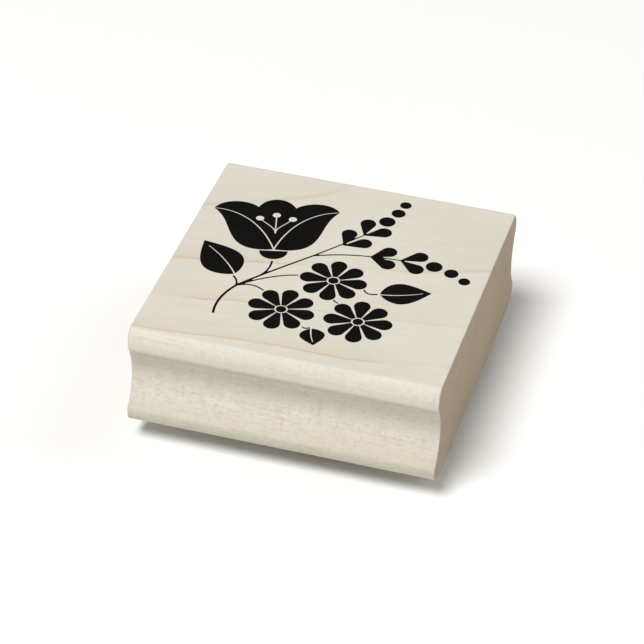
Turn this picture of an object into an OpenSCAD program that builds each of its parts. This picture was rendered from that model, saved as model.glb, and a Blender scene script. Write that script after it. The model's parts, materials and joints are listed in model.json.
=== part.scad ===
// Wood-mounted rubber stamp. A block of moulded maple carries its design printed on
// the flat top. Underneath, a foam cushion and a rubber die with the same design in
// relief are held on by two adhesive films.
// Millimetres. +Z is up and z = 0 is the face of the die that prints. +X runs along
// the moulding, and -Y is the front.

/* [Block] */
// Length along the moulding, between the two sawn ends
block_length = 76.2; // [76:0.1:82]
// Height of the wood
block_height = 27.9; // [27:0.1:29]
// Radius of the rolled edge under the flat top
roll_r = 5.5; // [5.2:0.1:6]
// Height of the middle of that roll above the underside of the wood
roll_height = 24; // [23.5:0.1:24.5]
// Radius of the finger cove along the front and the back
cove_r = 12.5; // [12:0.1:14]
// Height of the deepest line of the cove above the underside of the wood
cove_height = 14.4; // [14:0.1:15]
// How far the deepest line of the cove lies behind the rounded bottom edge
cove_depth = 3.8; // [3.4:0.1:4]
// Radius of the rounded bottom edge
base_r = 4.8; // [4.5:0.1:5]
// Overall depth of the wood, across the rounded bottom edges
block_depth = 80.8; // [80.4:0.1:84]

/* [Stack] */
// Thickness of the printed ink
ink_t = 0.06; // [0.04:0.01:0.1]
// Thickness of each adhesive film
film_t = 0.1; // [0.05:0.01:0.2]
// Thickness of the foam cushion
cushion_t = 2.4; // [2:0.1:3.2]
// Thickness of the plain sheet that backs the relief of the die
sheet_t = 1; // [0.8:0.1:1.4]
// Height of the relief that takes the ink
relief_h = 1.1; // [0.8:0.1:1.4]
// Margin of rubber and foam left around the design
trim_margin = 1.1; // [0.8:0.1:1.4]

/* [Design] */
// Width of the thickest stem
stem_w = 0.6; // [0.5:0.05:0.7]
// Width of the bare lines between neighbouring shapes
gap_w = 0.4; // [0.3:0.05:0.5]
// Distance from the middle of a daisy to the tip of a petal
daisy_r = 8.3; // [7.8:0.1:8.4]
// Radius of the round end of a daisy petal
petal_r = 2; // [1.8:0.05:2.1]
// Number of petals on each daisy
petal_count = 8; // [7, 8]

/* [Hidden] */
$fn = 72;
curve_steps = 20;
cap_steps = 8;
base_steps = 10;
cove_steps = 18;
roll_steps = 14;

// The moulding: the roll and the cove are tangent to each other, so the edge is one ogee
base_x = block_depth / 2 - base_r;
cove_bottom_x = block_depth / 2 - cove_depth;
roll_x = cove_bottom_x + cove_r - sqrt(pow(roll_r + cove_r, 2) - pow(roll_height - cove_height, 2));
join_angle = asin((roll_height - cove_height) / (roll_r + cove_r));

// Heights of the stack, from the print face up
die_top = relief_h + sheet_t;
cushion_z = die_top + film_t;
cushion_top = cushion_z + cushion_t;
wood_z = cushion_top + film_t;
wood_top = wood_z + block_height;

// The trimmed outline closes every gap in the design that is narrower than twice this
bridge_r = 12;

// Radius of the web of ink or rubber in the corner between two stems
web_r = 0.2;

// Where the flowers stand, and the daisies' round middles
tulip_at = [-15.2, 3.6];
tulip_tilt = 14;
daisy_centres = [[2.4, -4.4], [-6.2, -19.6], [12.6, -18.8]];
daisy_turns = [3, -4, 6];
daisy_eye_r = 1.25;

// Leaves: where each starts, where its tip is and how wide it is
leaves = [
    [[-21.2, -9.2], [-32.6, 2.2], 10.6],
    [[14.6, -6.4], [26.4, -2.2], 8.4],
    [[2.9, -24.8], [5.1, -31], 6]
];

// The middle line of a leaf, in shares of its length, and the leaf's widest place
leaf_vein = [[0.3, -0.06], [0.6, -0.05], [0.86, 0]];
leaf_fullness = 0.75;

// Sprigs: each pair of leaflets has a place and a direction, and each berry a radius
leaflet_pairs = [[[0.6, 10.8], 58], [[4.2, 16.6], 62], [[8.2, 8.1], 10], [[15.6, 9.0], 2]];
leaflet_length = 7.2;
leaflet_r = 1.95;
leaflet_spread = 31;
berries = [
    [[8.2, 24.2], 2.05], [[9.9, 28.7], 1.75], [[10.7, 32.8], 1.45],
    [[24.2, 8.9], 2.05], [[28.9, 7.4], 1.75], [[32.7, 5.1], 1.45]
];

// Stems: the four control points of each curve, and its width at either end
fork = [-5.2, 4.2];
junction = [-19.4, -13.6];
stems = [
    [[[-21.2, -25.8], [-22.4, -20.5], [-20.6, -16], junction], stem_w, stem_w],
    [[junction, [-16, -8.6], [-9.5, -1], fork], stem_w, 0.7 * stem_w],
    [[[-15.6, -8.5], [-14.3, -6.6], [-13.6, -4.4], [-14.1, -1.3]], 0.7 * stem_w, 0.8 * stem_w],
    [[fork, [-2.6, 7.6], [-0.6, 10], leaflet_pairs[1][0]], 0.7 * stem_w, 0.5 * stem_w],
    [[fork, [-1, 6], [3, 8.2], leaflet_pairs[3][0]], 0.7 * stem_w, 0.5 * stem_w],
    [[junction, [-15, -9], [-10.5, -6], [-6.5, -4.9]], 0.7 * stem_w, 0.6 * stem_w],
    [[junction, [-16.6, -11.6], [-14.5, -12.2], [-12.6, -13.5]], 0.7 * stem_w, 0.6 * stem_w],
    [[junction, [-19.6, -12], [-20, -11.2], [-21.1, -10.1]], 0.7 * stem_w, 0.8 * stem_w],
    [[[10.5, -5.8], [11.4, -7.3], [12.6, -7.3], [13.9, -6.6]], 0.6 * stem_w, 0.7 * stem_w],
    [[[4.75, -12.2], [5.1, -12.6], [5.5, -12.8], [6, -12.95]], 0.6 * stem_w, 0.6 * stem_w],
    [[[0.75, -24.95], [1.2, -25.3], [1.7, -25.2], [2.3, -24.75]], 0.6 * stem_w, 0.7 * stem_w]
];

// The tulip, as four curves: up its right side, over the side petal, over the middle petal,
// and the bare seam from the tip of the side petal down to the base
tulip_side = [[0, 0.2], [13.5, -2.2], [9.8, 11.5], [15.8, 17.4]];
tulip_lobe = [tulip_side[3], [13.6, 21.8], [7.6, 21.6], [4.7, 18.6]];
tulip_crown = [tulip_lobe[3], [2.6, 23.4], [-2.6, 23.4], [-4.7, 18.6]];
tulip_seam = [tulip_side[3], [9, 17], [3.2, 11], tulip_side[0]];

// The stamens rise from the heart, and the cup under the tulip is half a disc
tulip_heart = [0, 7.2];
stamen_tips = [[-4.1, 13.6], [0, 15.2], [4.1, 13.6]];
stamen_bow = 0.4;
stamen_r = 1.05;
calyx_r = 3.5;
calyx_y = -0.1 - gap_w;

// A point of a cubic curve, its direction, and the points along it
function bezier(p, t) = pow(1 - t, 3) * p[0] + 3 * t * pow(1 - t, 2) * p[1]
    + 3 * t * t * (1 - t) * p[2] + pow(t, 3) * p[3];
function direction(p, t) = let(d = pow(1 - t, 2) * (p[1] - p[0]) + 2 * t * (1 - t) * (p[2] - p[1])
    + t * t * (p[3] - p[2])) d / norm(d);
function curve(p) = [for (i = [0:curve_steps]) bezier(p, i / curve_steps)];
function reversed(list) = [for (i = [len(list) - 1:-1:0]) list[i]];
function past_first(list) = [for (i = [1:len(list) - 1]) list[i]];
function mirrored(points) = [for (p = points) [-p.x, p.y]];
function bank(p, w0, w1, side) = [for (i = [0:curve_steps])
    let(t = i / curve_steps, d = direction(p, t))
    bezier(p, t) + side * (w0 + (w1 - w0) * t) / 2 * [-d.y, d.x]];

// The points of an arc, from one angle to another
function arc(centre, r, from, to, steps) = [for (i = [0:steps])
    let(a = from + (to - from) * i / steps) centre + r * [cos(a), sin(a)]];

// The round end of a line of width w, which turns from its left bank to its right one
function cap(centre, w, d) = let(heading = atan2(d.y, d.x))
    arc(centre, w / 2, heading + 90 - 180 / cap_steps, heading - 90 + 180 / cap_steps, cap_steps - 2);

// A line along a curve, with round ends
module stroke(p, w0, w1) {
    polygon(concat(bank(p, w0, w1, 1), cap(p[3], w1, direction(p, 1)),
        reversed(bank(p, w0, w1, -1)), cap(p[0], w0, -direction(p, 0))));
}

// A petal or leaflet: pointed at the origin and round at its far end
module drop(length, r) {
    reach = length - r;
    turn = 90 + asin(r / reach);
    polygon(concat([[0, 0]], arc([reach, 0], r, -turn, turn, curve_steps)));
}

// The half width of a leaf at a share t of its length, widest nearer its base
function leaf_half(width, t) = width / 2 * sin(180 * pow(t, leaf_fullness));

module blade(length, width) {
    upper = [for (i = [0:curve_steps]) let(t = i / curve_steps) [length * t, leaf_half(width, t)]];
    polygon(concat(upper, [for (i = [curve_steps - 1:-1:1]) [upper[i].x, -upper[i].y]]));
}

module leaf(base, tip, width) {
    run = tip - base;
    length = norm(run);
    translate(base) rotate(atan2(run.y, run.x)) difference() {
        blade(length, width);
        translate([-gap_w, 0]) stroke(concat([[0, 0]], leaf_vein * length), gap_w, 0.6 * gap_w);
    }
}

// A bare dot on a bare filament that rises from the heart of the tulip
module stamen(tip) {
    rise = tip - tulip_heart;
    stroke([tulip_heart, tulip_heart + [0, stamen_bow * rise.y], tip - stamen_bow * rise, tip],
        0.8 * gap_w, 0.8 * gap_w);
    translate(tip) circle(stamen_r);
}

module tulip() {
    right = concat(curve(tulip_side), curve(tulip_lobe));
    translate(tulip_at) rotate(tulip_tilt) difference() {
        polygon(concat(right, curve(tulip_crown), reversed(mirrored(right))));
        for (side = [0, 1]) mirror([side, 0]) stroke(tulip_seam, 0.7 * gap_w, gap_w);
        for (tip = stamen_tips) stamen(tip);
    }
    translate(tulip_at) rotate(tulip_tilt) translate([0, calyx_y]) intersection() {
        circle(calyx_r);
        translate([-calyx_r, -calyx_r]) square([2 * calyx_r, calyx_r]);
    }
}

module daisies() {
    for (i = [0:len(daisy_centres) - 1]) translate(daisy_centres[i]) rotate(daisy_turns[i]) {
        circle(daisy_eye_r);
        difference() {
            for (k = [0:petal_count - 1]) rotate(k * 360 / petal_count) drop(daisy_r, petal_r);
            circle(daisy_eye_r + gap_w);
        }
    }
}

module foliage() {
    for (item = leaves) leaf(item[0], item[1], item[2]);
}

// Every stem, with the leaflets that grow from it
module sprigs() {
    offset(r = -web_r, $fn = 16) offset(r = web_r, $fn = 16) {
        for (stem = stems) stroke(stem[0], stem[1], stem[2]);
        for (pair = leaflet_pairs, side = [-1, 1])
            translate(pair[0]) rotate(pair[1] + side * leaflet_spread) drop(leaflet_length, leaflet_r);
    }
}

module fruit() {
    for (berry = berries) translate(berry[0]) circle(berry[1]);
}

// The whole design, as it prints and as it is seen on the top of the block
module design() {
    tulip();
    daisies();
    foliage();
    sprigs();
    fruit();
}

// The smooth outline that the rubber and the foam are trimmed to
module trimmed_outline() {
    offset(r = trim_margin - bridge_r, $fn = 48) offset(r = bridge_r, $fn = 48) design();
}

// The outline of one edge of the moulding, from its underside to its flat top
function moulding_edge() = concat(
    arc([base_x, base_r], base_r, -90, 0, base_steps),
    arc([cove_bottom_x + cove_r, cove_height], cove_r, 180 + acos(1 - cove_depth / cove_r),
        180 - join_angle, cove_steps),
    past_first(arc([roll_x, roll_height], roll_r, -join_angle,
        asin((block_height - roll_height) / roll_r), roll_steps))
);

module wood_block() {
    edge = moulding_edge();
    color([0.87, 0.84, 0.78]) translate([-block_length / 2, 0, wood_z]) rotate([90, 0, 90])
        linear_extrude(block_length) polygon(concat(edge, reversed(mirrored(edge))));
}

module ink() {
    color([0.07, 0.07, 0.07]) translate([0, 0, wood_top]) linear_extrude(ink_t) children();
}

module print_tulip() ink() tulip();
module print_daisies() ink() daisies();
module print_leaves() ink() foliage();
module print_sprigs() ink() sprigs();
module print_berries() ink() fruit();

module layer(z, thickness) translate([0, 0, z]) linear_extrude(thickness) trimmed_outline();

module block_adhesive() color([0.85, 0.83, 0.72]) layer(cushion_top, film_t);
module foam_cushion() color([0.62, 0.62, 0.6]) layer(cushion_z, cushion_t);
module die_adhesive() color([0.85, 0.83, 0.72]) layer(die_top, film_t);

module rubber_die() {
    color([0.55, 0.33, 0.28]) {
        layer(relief_h, sheet_t);
        linear_extrude(relief_h + sheet_t / 2) design();
    }
}

wood_block();
print_tulip();
print_daisies();
print_leaves();
print_sprigs();
print_berries();
block_adhesive();
foam_cushion();
die_adhesive();
rubber_die();
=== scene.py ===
import json
import math

import bmesh
import bpy
import numpy as np
from mathutils import Matrix, Vector
from mathutils.geometry import delaunay_2d_cdt

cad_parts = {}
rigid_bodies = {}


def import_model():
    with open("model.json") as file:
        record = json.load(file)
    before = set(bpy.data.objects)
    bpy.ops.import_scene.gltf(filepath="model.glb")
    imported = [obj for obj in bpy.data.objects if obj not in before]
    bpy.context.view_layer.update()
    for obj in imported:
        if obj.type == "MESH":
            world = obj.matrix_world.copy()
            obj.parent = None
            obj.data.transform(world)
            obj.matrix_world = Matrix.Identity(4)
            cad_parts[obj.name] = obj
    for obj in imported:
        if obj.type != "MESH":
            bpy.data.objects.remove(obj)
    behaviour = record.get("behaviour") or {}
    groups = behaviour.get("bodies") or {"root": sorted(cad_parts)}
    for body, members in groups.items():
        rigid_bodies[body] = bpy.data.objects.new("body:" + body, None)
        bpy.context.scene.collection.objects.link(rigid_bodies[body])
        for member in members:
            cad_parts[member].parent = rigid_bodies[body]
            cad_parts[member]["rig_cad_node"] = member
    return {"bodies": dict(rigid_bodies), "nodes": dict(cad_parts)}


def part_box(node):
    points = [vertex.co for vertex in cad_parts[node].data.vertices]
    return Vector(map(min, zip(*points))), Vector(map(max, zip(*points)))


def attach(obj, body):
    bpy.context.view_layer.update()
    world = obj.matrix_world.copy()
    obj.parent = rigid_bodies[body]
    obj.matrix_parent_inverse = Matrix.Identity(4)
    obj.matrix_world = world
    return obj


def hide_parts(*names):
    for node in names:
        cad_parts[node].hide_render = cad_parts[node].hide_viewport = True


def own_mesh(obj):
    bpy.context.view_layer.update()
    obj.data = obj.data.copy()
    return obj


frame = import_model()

# Blender's own start-up objects go, so that the first bounds are those of the CAD model
for spare in [o for o in bpy.data.objects if "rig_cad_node" not in o and o not in frame["bodies"].values()]:
    bpy.data.objects.remove(spare)
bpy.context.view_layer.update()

MM = 0.001
NODES = frame["nodes"]

# vertices nearer than this are one vertex, in metres
WELD = 1e-7
PRINTS = ["print_tulip", "print_daisies", "print_leaves", "print_sprigs", "print_berries"]
FILMS = ["block_adhesive", "die_adhesive"]

WOOD_LOW, WOOD_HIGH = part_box("wood_block")
FOAM_LOW, FOAM_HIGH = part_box("foam_cushion")
DIE_LOW, DIE_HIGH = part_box("rubber_die")

# The moulding as it leaves the shop, in millimetres: the height of each worked line above the
# wood's underside, its reach up and down, and how far it stands out (+) or in (-)
WORKED_LINES = [(22.5, 0.9, 0.12), (21.1, 0.5, -0.32), (0.9, 0.9, -0.30)]
# Inside this distance from the middle the wood is flat and nothing is worked
FLAT_HALF = 34 * MM

# The knife's corners on the foam and the rubber: how far they are rounded, and the mesh's step
TRIM_ROUND = 0.3 * MM
TRIM_STEP = 0.3 * MM


# ---------------------------------------------------------------- camera, floor and light

def add_camera():
    """The photograph's view of the stamp: from the front, a little to the right, looking down."""
    azimuth, elevation, roll = (math.radians(a) for a in (15.23, 36.18, 1.79))
    target = Vector((-1.2, -0.43, 16.64)) * MM
    distance = 678.5 * MM
    back = Vector((math.sin(azimuth) * math.cos(elevation), -math.cos(azimuth) * math.cos(elevation),
                   math.sin(elevation)))
    right = Vector((math.cos(azimuth), math.sin(azimuth), 0))
    up = back.cross(right)
    right, up = (right * math.cos(roll) + up * math.sin(roll),
                 up * math.cos(roll) - right * math.sin(roll))
    data = bpy.data.cameras.new("camera")
    data.sensor_width = 36
    data.lens = 153.6
    data.clip_start = 0.01
    camera = bpy.data.objects.new("camera", data)
    turn = Matrix((right, up, back)).transposed().to_4x4()
    camera.matrix_world = Matrix.Translation(target + back * distance) @ turn
    bpy.context.scene.collection.objects.link(camera)
    bpy.context.scene.camera = camera


def add_area_light(name, azimuth, elevation, distance, size, power, colour):
    """A round soft light at a distance from the origin in metres, which it faces."""
    a, e = math.radians(azimuth), math.radians(elevation)
    direction = Vector((math.sin(a) * math.cos(e), -math.cos(a) * math.cos(e), math.sin(e)))
    data = bpy.data.lights.new(name, "AREA")
    data.shape = "DISK"
    data.size = size
    data.energy = power
    data.color = colour
    light = bpy.data.objects.new(name, data)
    light.location = direction * distance
    light.rotation_euler = direction.to_track_quat("Z", "Y").to_euler()
    bpy.context.scene.collection.objects.link(light)


def add_studio():
    """A high key light from the front left, a weak fill from behind right and a dim warm room."""
    add_area_light("key", -22, 61, 2.6, 1.2, 65.0, (1.0, 0.995, 0.98))
    add_area_light("fill", 127, 38, 2.8, 2.0, 16.0, (1.0, 0.99, 0.97))
    world = bpy.data.worlds.new("studio")
    world.use_nodes = True
    background = world.node_tree.nodes["Background"]
    background.inputs["Color"].default_value = (1.0, 0.985, 0.955, 1)
    background.inputs["Strength"].default_value = 0.22
    bpy.context.scene.world = world
    bpy.context.scene.view_settings.view_transform = "Standard"


# ---------------------------------------------------------------- outlines taken from the frame

def face_loops(node, axis, level):
    """The closed outlines of a CAD node's flat faces at one level along an axis, as arrays of the
    other two coordinates. Material lies to the left of each, seen from the axis's positive side."""
    bm = bmesh.new()
    bm.from_mesh(NODES[node].data)
    bmesh.ops.remove_doubles(bm, verts=bm.verts, dist=WELD)
    faces = [f for f in bm.faces if all(abs(v.co[axis] - level) < 1e-6 for v in f.verts)]
    edges = {(l.vert.index, l.link_loop_next.vert.index) for f in faces for l in f.loops}
    follows = {a: b for a, b in edges if (b, a) not in edges}
    bm.verts.ensure_lookup_table()
    across = [i for i in range(3) if i != axis]
    sign = sum(f.normal[axis] for f in faces)
    if axis == 1:
        sign = -sign
    loops = []
    while follows:
        start, here = follows.popitem()
        loop = [start]
        while here != start:
            loop.append(here)
            here = follows.pop(here)
        points = np.array([[bm.verts[i].co[k] for k in across] for i in loop])
        loops.append(points if sign > 0 else points[::-1])
    bm.free()
    return sorted(loops, key=lambda p: (len(p), p[0][0], p[0][1]), reverse=True)


def evenly(points, step):
    """A closed outline with points at even steps along it."""
    closed = np.vstack([points, points[:1]])
    length = np.concatenate([[0], np.cumsum(np.linalg.norm(np.diff(closed, axis=0), axis=1))])
    count = max(8, int(round(length[-1] / step)))
    at = np.arange(count) * length[-1] / count
    return np.column_stack([np.interp(at, length, closed[:, k]) for k in (0, 1)])


def soften(points, width, step):
    """An even outline whose corners and facets are rounded over about the given width."""
    even = evenly(points, step)
    spread = 0.6 * width
    reach = int(round(2 * width / step))
    weights = np.exp(-0.5 * (np.arange(-reach, reach + 1) * step / spread) ** 2)
    weights /= weights.sum()
    return sum(w * np.roll(even, k, axis=0) for k, w in zip(range(-reach, reach + 1), weights))


def outward(points):
    """Unit normals of a closed outline, pointing away from the material on its left."""
    ahead = np.roll(points, -1, axis=0) - np.roll(points, 1, axis=0)
    ahead /= np.maximum(np.linalg.norm(ahead, axis=1, keepdims=True), 1e-12)
    return np.column_stack([ahead[:, 1], -ahead[:, 0]])


# ---------------------------------------------------------------- mesh helpers

def new_object(name, verts, faces, smooth=None):
    """A mesh object in the scene, with a smooth flag for each face."""
    mesh = bpy.data.meshes.new(name)
    mesh.from_pydata([tuple(map(float, v)) for v in verts], [], faces)
    mesh.validate()
    if smooth is not None:
        mesh.polygons.foreach_set("use_smooth", smooth)
    obj = bpy.data.objects.new(name, mesh)
    bpy.context.scene.collection.objects.link(obj)
    return obj


def strip(first, second, count):
    """Quads between two closed rings of vertices that start at the given indices."""
    return [(first + i, first + (i + 1) % count, second + (i + 1) % count, second + i) for i in range(count)]


def filled(loops, level, base):
    """Triangles that fill the area inside outlines, leaving their holes open."""
    coords = [Vector(p) for loop in loops for p in loop]
    outlines, start = [], 0
    for loop in loops:
        outlines.append(list(range(start, start + len(loop))))
        start += len(loop)
    verts, _, faces, _, _, _ = delaunay_2d_cdt(coords, [], outlines, 2, 1e-9)
    return [(v[0], v[1], level) for v in verts], [tuple(base + i for i in f) for f in faces]


def weld(obj):
    """Joins vertices at one place, and turns every face outwards."""
    bm = bmesh.new()
    bm.from_mesh(obj.data)
    bmesh.ops.remove_doubles(bm, verts=bm.verts, dist=WELD)
    bmesh.ops.recalc_face_normals(bm, faces=bm.faces)
    bm.to_mesh(obj.data)
    bm.free()


# ---------------------------------------------------------------- pieces

def bell(value, middle, width):
    """A smooth bump of height 1 round a middle value."""
    return np.exp(-((value - middle) / width) ** 2)


def worked(profile):
    """The moulding as it leaves the shop: a fine crease where the roll meets the cove, a fuller
    roll above it, and the long bottom edges sanded."""
    height = (profile[:, 1] - WOOD_LOW.z) / MM
    side = np.abs(profile[:, 0]) > FLAT_HALF
    push = sum(out * bell(height, middle, reach) for middle, reach, out in WORKED_LINES)
    return profile + outward(profile) * (push * side * MM)[:, None]


def build_block():
    """The maple block: the frame's moulding, with its long corners softened and its ends eased,
    more along the roll than in the cove and at the base."""
    end_r = 0.6 * MM
    corner_round, mesh_step = 0.5 * MM, 0.25 * MM
    least, ease_from, ease_over = 0.3, 17, 5
    half_spans = 8
    profile = worked(soften(face_loops("wood_block", 0, WOOD_LOW.x)[0], corner_round, mesh_step))
    height = (profile[:, 1] - WOOD_LOW.z) / MM
    more = np.clip((height - ease_from) / ease_over, 0, 1)
    eased = outward(profile) * (least + (1 - least) * more)[:, None]
    count = len(profile)
    turns = [math.radians(a) for a in range(0, 91, 15)]
    half = WOOD_HIGH.x
    curve = [(end_r * (1 - math.sin(t)), end_r * (1 - math.cos(t))) for t in turns]
    ends = [[(side * half, short, inset) for short, inset in curve] for side in (-1, 1)]
    inner = [(half * k / half_spans, 0.0, 0.0) for k in range(1 - half_spans, half_spans)]
    stations = ends[0][::-1] + inner + ends[1]
    share = np.linalg.norm(eased, axis=1)
    verts, faces = [], []
    for x, short, inset in stations:
        ring = profile - eased * inset
        along = x - math.copysign(1, x) * short * share
        verts += [(along[i], ring[i][0], ring[i][1]) for i in range(count)]
    for k in range(len(stations) - 1):
        faces += strip(k * count, (k + 1) * count, count)
    smooth = [True] * len(faces)
    for k, flip in ((0, False), (len(stations) - 1, True)):
        cap, tris = filled([profile - eased * end_r], 0.0, len(verts))
        verts += [(stations[k][0], a, b) for a, b, _ in cap]
        faces += [t[::-1] if flip else t for t in tris]
        smooth += [False] * len(tris)
    block = new_object("maple_block", verts, faces, smooth)
    weld(block)
    return block


def build_foam():
    """The foam pad: cut flush with the rubber, its cut edge a little bowed and rough with cells."""
    rows, bow_depth, cell_depth = 9, 0.10 * MM, 0.035 * MM
    outline = soften(face_loops("foam_cushion", 2, FOAM_HIGH.z)[0], TRIM_ROUND, TRIM_STEP)
    normal = outward(outline)
    count = len(outline)
    verts, faces = [], []
    rng = np.random.default_rng(7)
    for k in range(rows):
        share = k / (rows - 1)
        z = FOAM_LOW.z + (FOAM_HIGH.z - FOAM_LOW.z) * share
        bow = bow_depth * math.sin(math.pi * share) - bow_depth
        rough = 0.0 if k in (0, rows - 1) else cell_depth
        ring = outline + normal * (bow + rough * rng.standard_normal((count, 1)))
        verts += [(p[0], p[1], z) for p in ring]
    for k in range(rows - 1):
        faces += strip(k * count, (k + 1) * count, count)
    smooth = [True] * len(faces)
    for level, k in ((FOAM_LOW.z, 0), (FOAM_HIGH.z, rows - 1)):
        ring = np.array([v[:2] for v in verts[k * count:(k + 1) * count]])
        cap, tris = filled([ring], level, len(verts))
        verts += cap
        faces += tris if k else [t[::-1] for t in tris]
        smooth += [False] * len(tris)
    foam = new_object("foam_pad", verts, faces, smooth)
    weld(foam)
    return foam


def room_beside(points, normals):
    """How far each point can move along its normal before it is as near to another part of the
    outlines: the radius of the circle that touches both. A block of points is done at a time."""
    block, tiny = 256, 1e-9
    room = np.empty(len(points))
    for i in range(0, len(points), block):
        gap = points[None, :, :] - points[i:i + block, None, :]
        ahead = (gap * normals[i:i + block, None, :]).sum(2)
        square = (gap ** 2).sum(2)
        radius = np.where(ahead > tiny, square / np.maximum(2 * ahead, tiny), np.inf)
        radius[square < 1e-12] = np.inf
        room[i:i + block] = radius.min(1)
    return room


def build_die():
    """The rubber die: a sheet with the design moulded on it, its shoulders leaning out to the sheet."""
    lean, relief_step, room_share, even_passes = 0.42 * MM, 0.22 * MM, 0.7, 3
    # the trimmed edge: its top edge stands in by one inset, and the rim of the sheet by two
    inset, rim = 0.05 * MM, 0.06 * MM
    sheet_z = relief_height()
    loops = [evenly(loop, relief_step) for loop in face_loops("rubber_die", 2, DIE_LOW.z)]
    outline = soften(face_loops("rubber_die", 2, DIE_HIGH.z)[0], TRIM_ROUND, TRIM_STEP)
    normals = [outward(loop) for loop in loops]
    room = room_beside(np.vstack(loops), np.vstack(normals))
    # share of the relief's height, and share of the shoulder's lean there
    rings = [(0.0, 0.0), (0.05, 0.06), (0.45, 0.22), (0.75, 0.42), (0.93, 0.72), (1.0, 1.0)]
    verts, faces, feet, start = [], [], [], 0
    for loop, normal in zip(loops, normals):
        count = len(loop)
        reach = np.minimum(lean, room_share * room[start:start + count])
        for _ in range(even_passes):
            reach = np.minimum(reach, (np.roll(reach, 1) + reach + np.roll(reach, -1)) / 3)
        start += count
        first = len(verts)
        for height, share in rings:
            ring = loop + normal * (reach * share)[:, None]
            verts += [(p[0], p[1], DIE_LOW.z + (sheet_z - DIE_LOW.z) * height) for p in ring]
        feet.append(ring)
        for k in range(len(rings) - 1):
            faces += strip(first + k * count, first + (k + 1) * count, count)
    smooth = [True] * len(faces)
    side = [(sheet_z, 2 * inset), (sheet_z + rim, inset), (DIE_HIGH.z, inset)]
    first, count, edge = len(verts), len(outline), outward(outline)
    for z, back in side:
        verts += [(p[0], p[1], z) for p in outline - edge * back]
    for k in range(len(side) - 1):
        faces += strip(first + k * count, first + (k + 1) * count, count)
    smooth += [True] * (len(faces) - len(smooth))
    for fill, level in ((loops, DIE_LOW.z),
                        ([outline - edge * 2 * inset] + feet, sheet_z),
                        ([outline - edge * inset], DIE_HIGH.z)):
        cap, tris = filled(fill, level, len(verts))
        verts += cap
        faces += tris
        smooth += [False] * len(tris)
    die = new_object("die_rubber", verts, faces, smooth)
    weld(die)
    return die


def relief_height():
    """The level of the flat sheet between the raised shapes of the die."""
    levels = [round(v.co.z, 7) for v in NODES["rubber_die"].data.vertices]
    return sorted(set(levels))[1]


# ---------------------------------------------------------------- materials

class Shader:
    """A small helper that adds nodes to one material and links them."""

    def __init__(self, name):
        self.material = bpy.data.materials.new(name)
        self.material.use_nodes = True
        self.tree = self.material.node_tree
        self.surface = self.tree.nodes["Principled BSDF"]

    def link(self, value, socket):
        """Joins another node's output to a socket, or sets a plain value on it."""
        if isinstance(value, bpy.types.NodeSocket):
            self.tree.links.new(value, socket)
        else:
            socket.default_value = value

    def node(self, kind, inputs=(), output=0, **settings):
        made = self.tree.nodes.new("ShaderNode" + kind)
        for key, value in settings.items():
            setattr(made, key, value)
        for key, value in dict(inputs).items():
            self.link(value, made.inputs[key])
        return made.outputs[output]

    def place(self):
        """Where a point is on the object, in millimetres."""
        where = self.node("TexCoord", output="Object")
        return self.node("VectorMath", {0: where, "Scale": 1 / MM}, operation="SCALE")

    def stretched(self, where, x, y, z):
        return self.node("VectorMath", {0: where, 1: (x, y, z)}, operation="MULTIPLY")

    def noise(self, where, scale, detail=3.0, rough=0.55):
        return self.node("TexNoise", {"Vector": where, "Scale": scale, "Detail": detail, "Roughness": rough},
                         output="Fac")

    def parts(self, vector):
        """The X, Y and Z of a vector."""
        split = self.tree.nodes.new("ShaderNodeSeparateXYZ")
        self.link(vector, split.inputs[0])
        return split.outputs

    def math(self, operation, a, b=0.0, c=0.0):
        return self.node("Math", {0: a, 1: b, 2: c}, operation=operation)

    def spread(self, value, low, high, out_low=0.0, out_high=1.0):
        """A smooth step from out_low at low to out_high at high."""
        return self.node("MapRange", {"Value": value, "From Min": low, "From Max": high, "To Min": out_low,
                                      "To Max": out_high}, interpolation_type="SMOOTHSTEP")

    def mix(self, share, a, b):
        """A share of colour b in colour a."""
        made = self.tree.nodes.new("ShaderNodeMix")
        made.data_type = "RGBA"
        self.link(share, made.inputs["Factor"])
        self.link(a, made.inputs["A"])
        self.link(b, made.inputs["B"])
        return made.outputs["Result"]

    def bump(self, height, strength, distance):
        return self.node("Bump", {"Height": height, "Strength": strength, "Distance": distance})


def rgb(r, g, b):
    return (r, g, b, 1.0)


def fibres(s, where):
    """Long fibres, the finer ones between them and open pores, all drawn out along X."""
    fibre = s.noise(s.stretched(where, 0.10, 2.6, 2.6), 1.0, 5.0, 0.62)
    fine = s.noise(s.stretched(where, 0.45, 9.0, 9.0), 1.0, 3.0, 0.6)
    pore = s.spread(s.noise(s.stretched(where, 0.75, 5.5, 5.5), 1.0, 2.0, 0.5), 0.66, 0.74)
    return fibre, fine, pore


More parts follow.
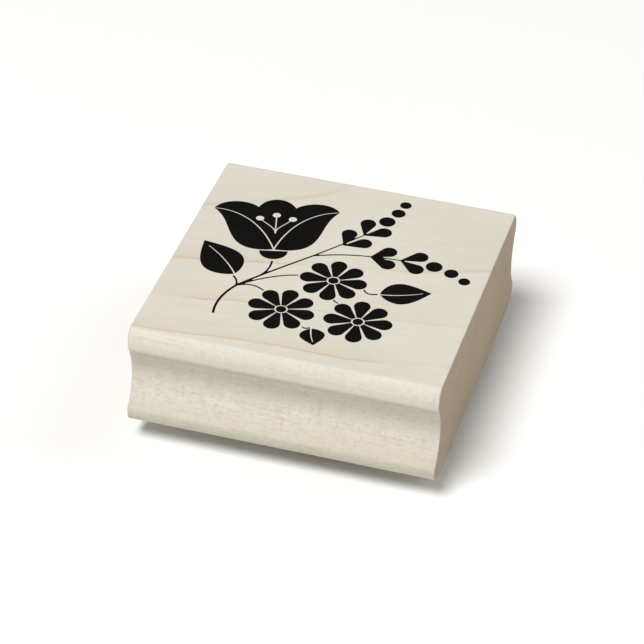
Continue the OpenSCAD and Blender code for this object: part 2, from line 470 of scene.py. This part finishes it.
def maple():
    """Bare sanded maple, its growth rings lying nearly flat and running along X."""
    # the rings in millimetres: where the pith lies, how far the rings lean along X, the radius
    # of one that crosses the top, and the distance between the strong ones
    pith_y, pith_depth, lean, ring_radius, ring_gap, phase_shift = 43.0, 112.0, 0.09, 150.65, 6.45, 0.94

    s = Shader("sanded_maple")
    where = s.place()
    x, y, z = s.parts(where)
    normal = s.parts(s.node("TexCoord", output="Normal"))
    end = s.spread(s.math("ABSOLUTE", normal[0]), 0.55, 0.9)
    side = s.spread(s.math("ABSOLUTE", normal[1]), 0.3, 0.95)

    # rings: wide circles round a pith far below and behind the block, which wander along X
    drift = s.math("MULTIPLY_ADD", s.noise(s.stretched(where, 0.018, 0.04, 0.04), 1.0, 2.0), 5.0, -2.5)
    wave = s.math("MULTIPLY_ADD", s.noise(s.stretched(where, 0.06, 0.10, 0.10), 1.0, 3.0), 3.4, -1.7)
    across = s.math("MULTIPLY_ADD", x, lean, s.math("SUBTRACT", y, pith_y))
    across = s.math("ADD", across, s.math("ADD", drift, wave))
    depth = s.math("MULTIPLY_ADD", x, lean, s.math("ADD", z, pith_depth))
    pith = s.node("CombineXYZ", {0: across, 1: depth})
    radius = s.node("VectorMath", {0: pith}, output="Value", operation="LENGTH")
    rings = s.math("DIVIDE", s.math("SUBTRACT", radius, ring_radius), ring_gap)
    late, line = 0.0, 0.0
    for per_band, weight in ((1.0, 1.0), (3.0, 0.32)):
        phase = s.math("FRACT", s.math("MULTIPLY_ADD", rings, per_band, phase_shift))
        wide = s.math("MULTIPLY", s.spread(phase, 0.45, 0.94), s.spread(phase, 0.99, 0.95))
        thin = s.math("MULTIPLY", s.spread(phase, 0.90, 0.945), s.spread(phase, 0.97, 0.95))
        late = s.math("MULTIPLY_ADD", wide, weight, late)
        line = s.math("MULTIPLY_ADD", thin, weight, line)
    strength = s.spread(s.noise(s.stretched(where, 0.03, 0.05, 0.05), 1.0, 2.0), 0.38, 0.60, 0.25, 1.0)
    strength = s.math("MULTIPLY", strength, s.spread(side, 0.0, 1.0, 1.0, 0.45))
    late = s.math("MULTIPLY", late, s.spread(s.math("ABSOLUTE", across), 10.0, 35.0))
    line = s.math("MULTIPLY", line, s.spread(s.math("ABSOLUTE", across), 4.0, 30.0, 0.3, 1.0))

    # fibres, pores and rays, and the short dashes and flecks that show on the moulded sides
    fibre, fine, pore = fibres(s, where)
    cloud = s.noise(s.stretched(where, 0.02, 0.05, 0.05), 1.0, 3.0)
    ray = s.spread(s.noise(s.stretched(where, 0.75, 0.20, 0.24), 1.0, 2.0, 0.45), 0.60, 0.74)
    ray = s.math("MULTIPLY", ray, side)
    speck = s.spread(s.noise(s.stretched(where, 0.85, 1.5, 1.5), 1.0, 3.0, 0.55), 0.50, 0.72)
    speck = s.math("MULTIPLY", speck, s.spread(side, 0.0, 1.0, 0.10, 1.0))
    streak = s.spread(s.noise(s.stretched(where, 0.09, 1.5, 1.5), 1.0, 3.0, 0.55), 0.55, 0.72)
    streak = s.math("MULTIPLY", streak, s.spread(side, 0.0, 1.0, 0.35, 1.0))
    dash = s.spread(s.noise(s.stretched(where, 1.1, 2.1, 2.1), 1.0, 1.0, 0.5), 0.60, 0.70)
    speck = s.math("MAXIMUM", speck, s.math("MULTIPLY", dash, s.spread(side, 0.0, 1.0, 0.10, 0.85)))
    mottle = s.noise(s.stretched(where, 0.40, 0.6, 0.6), 1.0, 4.0, 0.65)
    mottle = s.math("MULTIPLY", s.spread(mottle, 0.36, 0.64), s.spread(side, 0.0, 1.0, 0.22, 1.0))

    cream = s.mix(s.spread(cloud, 0.3, 0.7), rgb(0.688, 0.660, 0.588), rgb(0.652, 0.620, 0.545))
    cream = s.mix(s.math("MULTIPLY", mottle, 0.55), cream, rgb(0.585, 0.540, 0.450))
    wood = s.mix(s.math("MULTIPLY", late, s.math("MULTIPLY", strength, 0.42)), cream, rgb(0.60, 0.51, 0.385))
    wood = s.mix(s.math("MULTIPLY", line, s.math("MULTIPLY", strength, 0.62)), wood, rgb(0.54, 0.43, 0.30))
    wood = s.mix(s.spread(fibre, 0.25, 0.75, 0.0, 0.16), wood, rgb(0.54, 0.49, 0.39))
    wood = s.mix(s.spread(fine, 0.3, 0.8, 0.0, 0.20), wood, rgb(0.77, 0.74, 0.66))
    wood = s.mix(s.math("MULTIPLY", pore, 0.26), wood, rgb(0.38, 0.32, 0.24))
    wood = s.mix(s.math("MULTIPLY", ray, 0.46), wood, rgb(0.57, 0.46, 0.32))
    wood = s.mix(s.math("MULTIPLY", streak, 0.36), wood, rgb(0.47, 0.425, 0.345))
    wood = s.mix(s.math("MULTIPLY", speck, 0.46), wood, rgb(0.46, 0.42, 0.34))

    # the moulding: painted shade, a darker brown, on the faces that turn downwards under the roll and
    # on the lower part of the front and back, and a painted highlight, paler, on the roll
    # painted shade: darker where the surface faces downwards, as under the roll
    downward_shade = s.math("MULTIPLY", s.spread(normal[2], 0.25, -0.25), 0.30)
    # painted shade: darker towards the bottom
    bottom_shade = s.math("MULTIPLY", s.spread(z, 14.5, 10.5), 0.38)
    # painted highlight: paler on the roll
    roll_highlight = s.math("MULTIPLY", s.spread(z, 24.0, 27.0), 0.30)
    # painted shade: the stronger of the two, on the front and back only
    painted_shade = s.math("MULTIPLY", s.math("MAXIMUM", downward_shade, bottom_shade), s.spread(side, 0.0, 0.3))
    wood = s.mix(painted_shade, wood, rgb(0.43, 0.39, 0.28))
    # painted highlight on the roll, front and back only
    wood = s.mix(s.math("MULTIPLY", roll_highlight, side), wood, rgb(0.735, 0.725, 0.645))

    # the sawn ends: darker and browner, with fine rings, open pores, rays that cross the rings,
    # and saw marks that fall towards the back
    dots = s.spread(s.noise(s.stretched(where, 1.0, 4.5, 4.5), 1.0, 2.0, 0.6), 0.54, 0.70)
    fallen = s.node("CombineXYZ", {0: x, 1: y, 2: s.math("MULTIPLY_ADD", y, 0.24, z)})
    saw = s.noise(s.stretched(fallen, 0.3, 0.14, 1.9), 1.0, 3.0, 0.6)
    angle = s.math("ARCTAN2", across, depth)
    fan = s.node("CombineXYZ", {0: s.math("MULTIPLY", angle, 150.0), 1: radius, 2: x})
    rays = s.spread(s.noise(s.stretched(fan, 4.2, 0.30, 0.3), 1.0, 2.0, 0.5), 0.52, 0.72)
    fringe = s.math("FRACT", s.math("MULTIPLY_ADD", rings, 3.0, phase_shift))
    grown = s.math("MULTIPLY", s.spread(fringe, 0.35, 0.94), s.spread(fringe, 1.0, 0.955))
    sawn = s.mix(s.spread(cloud, 0.3, 0.7), rgb(0.458, 0.368, 0.258), rgb(0.424, 0.339, 0.233))
    sawn = s.mix(s.math("MULTIPLY", grown, 0.36), sawn, rgb(0.325, 0.25, 0.165))
    sawn = s.mix(s.spread(saw, 0.35, 0.70, 0.0, 0.42), sawn, rgb(0.345, 0.275, 0.19))
    sawn = s.mix(s.math("MULTIPLY", rays, 0.26), sawn, rgb(0.56, 0.47, 0.35))
    sawn = s.mix(s.spread(fine, 0.4, 0.8, 0.0, 0.2), sawn, rgb(0.55, 0.46, 0.34))
    sawn = s.mix(s.math("MULTIPLY", dots, 0.30), sawn, rgb(0.25, 0.19, 0.12))
    s.link(s.mix(end, wood, sawn), s.surface.inputs["Base Color"])

    rough = s.spread(fibre, 0.2, 0.8, 0.50, 0.68)
    s.link(s.math("ADD", rough, s.math("MULTIPLY", end, 0.12)), s.surface.inputs["Roughness"])
    s.surface.inputs["Specular IOR Level"].default_value = 0.32
    relief = s.math("ADD", s.math("MULTIPLY", fibre, 0.6), s.math("MULTIPLY", fine, 0.4))
    relief = s.math("SUBTRACT", relief, s.math("MULTIPLY", pore, 0.8))
    relief = s.math("ADD", relief, s.math("MULTIPLY", s.math("MULTIPLY", saw, end), 1.2))
    relief = s.math("SUBTRACT", relief, s.math("MULTIPLY", s.math("MULTIPLY", dots, end), 0.7))
    relief = s.math("SUBTRACT", relief, s.math("MULTIPLY", speck, 0.5))
    s.link(s.bump(relief, 0.34, 0.08 * MM), s.surface.inputs["Normal"])
    return s.material


def black_ink():
    """Flat printing ink that follows the wood's fibres, thinner where they stand up."""
    s = Shader("printing_ink")
    where = s.place()
    fibre, fine, pore = fibres(s, where)
    cloud = s.noise(where, 0.12, 3.0)
    ink = s.mix(s.spread(cloud, 0.3, 0.7), rgb(0.0035, 0.0034, 0.0032), rgb(0.0055, 0.0050, 0.0045))
    ink = s.mix(s.spread(fibre, 0.5, 0.85, 0.0, 0.5), ink, rgb(0.010, 0.009, 0.008))
    ink = s.mix(s.math("MULTIPLY", pore, 0.5), ink, rgb(0.022, 0.018, 0.014))
    s.link(ink, s.surface.inputs["Base Color"])
    s.link(s.spread(fine, 0.2, 0.8, 0.70, 0.86), s.surface.inputs["Roughness"])
    s.surface.inputs["Specular IOR Level"].default_value = 0.05
    height = s.math("ADD", s.math("MULTIPLY", fibre, 0.6), s.math("MULTIPLY", fine, 0.4))
    s.link(s.bump(height, 0.2, 0.05 * MM), s.surface.inputs["Normal"])
    return s.material


def adhesive_film():
    """Pale transfer adhesive, seen only as a thin line at the edge of the foam."""
    s = Shader("transfer_film")
    where = s.place()
    blotch = s.noise(where, 0.9, 4.0)
    dust = s.spread(s.noise(where, 6.0, 2.0), 0.6, 0.72)
    film = s.mix(s.spread(blotch, 0.3, 0.7), rgb(0.60, 0.54, 0.40), rgb(0.50, 0.44, 0.31))
    film = s.mix(s.math("MULTIPLY", dust, 0.4), film, rgb(0.34, 0.31, 0.26))
    s.link(film, s.surface.inputs["Base Color"])
    s.link(s.spread(blotch, 0.2, 0.8, 0.22, 0.5), s.surface.inputs["Roughness"])
    s.link(s.bump(blotch, 0.2, 0.03 * MM), s.surface.inputs["Normal"])
    return s.material


def cushion_foam():
    """Grey closed-cell foam: small round cells of uneven size, with darker hollows."""
    s = Shader("cushion_foam")
    where = s.place()
    cells = s.node("TexVoronoi", {"Vector": where, "Scale": 4.6, "Randomness": 1.0}, output="Distance")
    small = s.node("TexVoronoi", {"Vector": where, "Scale": 11.0, "Randomness": 1.0}, output="Distance")
    cloud = s.noise(where, 0.25, 3.0)
    hollow = s.spread(cells, 0.0, 0.45, 1.0, 0.0)
    foam = s.mix(s.spread(cloud, 0.3, 0.7), rgb(0.30, 0.30, 0.295), rgb(0.25, 0.25, 0.245))
    foam = s.mix(s.math("MULTIPLY", hollow, 0.45), foam, rgb(0.12, 0.12, 0.118))
    foam = s.mix(s.spread(small, 0.3, 0.7, 0.0, 0.25), foam, rgb(0.42, 0.42, 0.41))
    s.link(foam, s.surface.inputs["Base Color"])
    s.link(s.spread(cloud, 0.2, 0.8, 0.78, 0.92), s.surface.inputs["Roughness"])
    s.surface.inputs["Specular IOR Level"].default_value = 0.25
    height = s.math("SUBTRACT", s.math("MULTIPLY", small, 0.4), hollow)
    s.link(s.bump(height, 0.55, 0.12 * MM), s.surface.inputs["Normal"])
    return s.material


def die_rubber():
    """Moulded red-brown rubber, matt, with a bloom of chalk in its hollows and a fine mould texture."""
    s = Shader("moulded_rubber")
    where = s.place()
    height = s.parts(where)[2]
    cloud = s.noise(where, 0.18, 4.0)
    grain = s.noise(where, 3.5, 4.0, 0.6)
    fine = s.noise(where, 14.0, 3.0, 0.6)
    sheet = s.spread(height, 0.35, (relief_height() - DIE_LOW.z) / MM)
    chalk = s.math("MULTIPLY", sheet, s.spread(grain, 0.38, 0.68, 0.0, 0.42))
    rubber = s.mix(s.spread(cloud, 0.3, 0.7), rgb(0.235, 0.062, 0.046), rgb(0.19, 0.050, 0.038))
    rubber = s.mix(s.spread(grain, 0.3, 0.75, 0.0, 0.25), rubber, rgb(0.28, 0.085, 0.065))
    rubber = s.mix(chalk, rubber, rgb(0.40, 0.24, 0.20))
    s.link(rubber, s.surface.inputs["Base Color"])
    s.link(s.spread(grain, 0.2, 0.8, 0.46, 0.66), s.surface.inputs["Roughness"])
    s.surface.inputs["Specular IOR Level"].default_value = 0.4
    texture = s.math("ADD", s.math("MULTIPLY", grain, 0.6), s.math("MULTIPLY", fine, 0.4))
    s.link(s.bump(texture, 0.25, 0.05 * MM), s.surface.inputs["Normal"])
    return s.material


def pale_floor():
    """A matt white studio floor with hardly visible clouds."""
    s = Shader("pale_floor")
    cloud = s.noise(s.place(), 0.004, 2.0)
    s.link(s.mix(cloud, rgb(0.915, 0.915, 0.915), rgb(0.93, 0.93, 0.925)), s.surface.inputs["Base Color"])
    s.surface.inputs["Roughness"].default_value = 0.85
    s.surface.inputs["Specular IOR Level"].default_value = 0.2
    return s.material


def finish(obj, material):
    """Gives an object one material and no other."""
    obj.data.materials.clear()
    obj.data.materials.append(material)


# ---------------------------------------------------------------- the scene

add_camera()
add_studio()

reach = 4.0
floor = new_object("floor", [(-reach, -reach, 0), (reach, -reach, 0), (reach, reach, 0), (-reach, reach, 0)],
                   [(0, 1, 2, 3)])
finish(floor, pale_floor())

block = build_block()
finish(block, maple())
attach(block, "block")
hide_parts("wood_block")

ink = black_ink()
for name in PRINTS:
    finish(NODES[name], ink)

film = adhesive_film()
for name in FILMS:
    finish(NODES[name], film)

foam = build_foam()
finish(foam, cushion_foam())
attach(foam, "block")
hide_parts("foam_cushion")
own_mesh(foam)

die = build_die()
finish(die, die_rubber())
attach(die, "die")
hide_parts("rubber_die")
